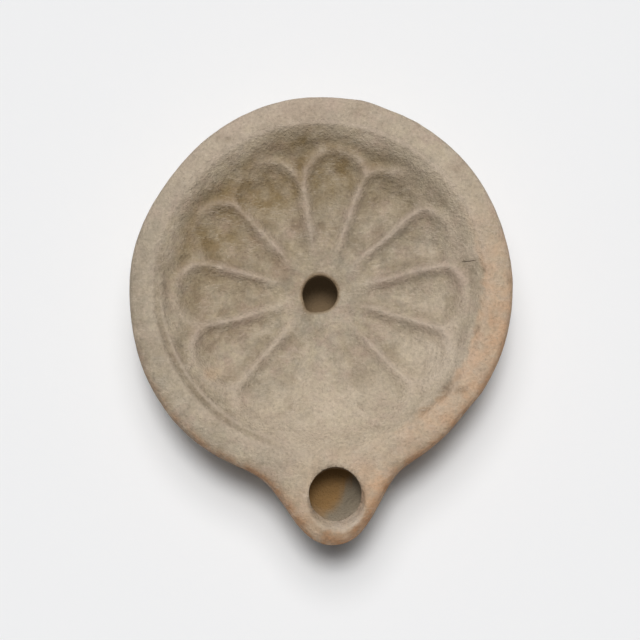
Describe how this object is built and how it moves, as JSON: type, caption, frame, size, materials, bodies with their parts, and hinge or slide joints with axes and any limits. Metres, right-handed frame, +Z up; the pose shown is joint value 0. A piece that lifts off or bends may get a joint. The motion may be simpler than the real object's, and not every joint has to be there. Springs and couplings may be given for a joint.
{
  "type": "roman oil lamp",
  "caption": "Round mould-made terracotta oil lamp: hollow body, sunk discus with a petalled rosette, central filling hole, short rounded nozzle with a wick hole, flat base.",
  "frame": {"origin": "centre of the flat base, on the surface the lamp stands on", "axes": "+Z up through the filling hole, -Y towards the nozzle's tip, +X to the right seen from above with the nozzle at the bottom"},
  "size_m": [0.0787, 0.0925, 0.026],
  "materials": {
    "terracotta": "unglazed fired clay, worn and matt, buff to pale orange with grey-brown dirt"
  },
  "bodies": {
    "root": {"lamp_body": "terracotta"}
  },
  "joints": []
}
